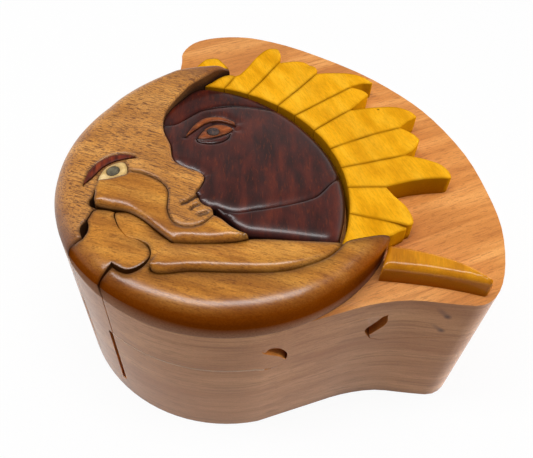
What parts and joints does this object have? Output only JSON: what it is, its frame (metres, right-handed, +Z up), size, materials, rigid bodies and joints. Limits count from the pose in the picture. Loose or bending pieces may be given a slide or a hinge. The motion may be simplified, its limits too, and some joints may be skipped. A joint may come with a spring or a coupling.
{
  "type": "puzzle box",
  "caption": "Sawn wooden secret box with an inlaid sun and moon lid that slides off a dovetail-like tongue once its hidden key column is lifted out.",
  "frame": {"origin": "on the bottom face, under the middle of the box's length and width", "axes": "+X to the right and +Y away, seen from the side with the saw cuts (the front); +Z up"},
  "size_m": [0.118, 0.1176, 0.0607],
  "materials": {
    "beech_wood": "oiled, satin, flecked grain",
    "crown_wood": "lacquered, golden brown, soft dark grain",
    "moon_wood": "lacquered, orange brown, fine pores",
    "sun_wood": "lacquered, dark red brown, streaked",
    "red_wood": "lacquered, dark red with darker stripes",
    "lid_wood": "lacquered, orange brown",
    "dark_wood": "lacquered, dark grey",
    "amber_wood": "lacquered, glossy amber",
    "ray_wood": "lacquered, golden yellow, fine speckle",
    "eye_wood": "lacquered, cream",
    "pupil_wood": "lacquered, grey green",
    "felt_lining": "short matte nap"
  },
  "bodies": {
    "base": {"base_floor": "beech_wood", "base_block": "beech_wood", "floor_lining": "felt_lining"},
    "lid": {"lid_block": "beech_wood", "moon_crown": "crown_wood", "moon_cheek": "moon_wood", "moon_fold": "moon_wood", "moon_jaw": "moon_wood", "moon_brow": "red_wood", "moon_eye": "eye_wood", "moon_pupil": "pupil_wood", "sun_forehead": "sun_wood", "sun_face": "sun_wood", "sun_jaw": "sun_wood", "sun_upper_lid": "lid_wood", "sun_eye": "lid_wood", "sun_pupil": "dark_wood", "sun_lower_lid": "sun_wood", "sun_ray_01": "ray_wood", "sun_ray_02": "ray_wood", "sun_ray_03": "ray_wood", "sun_ray_04": "ray_wood", "sun_ray_05": "ray_wood", "sun_ray_06": "ray_wood", "sun_ray_07": "ray_wood", "sun_ray_08": "ray_wood", "sun_ray_09": "ray_wood", "sun_ray_10": "ray_wood", "sun_ray_11": "ray_wood", "sun_ray_12": "amber_wood"},
    "key": {"key_column": "beech_wood", "key_face": "moon_wood"}
  },
  "joints": [
    {"name": "lid_slide", "type": "slide", "parent": "base", "child": "lid", "axis": [0, -1, 0], "range_m": [0, 0.12]},
    {"name": "key_lift", "type": "slide", "parent": "lid", "child": "key", "axis": [0, 0, 1], "range_m": [0, 0.056]}
  ]
}
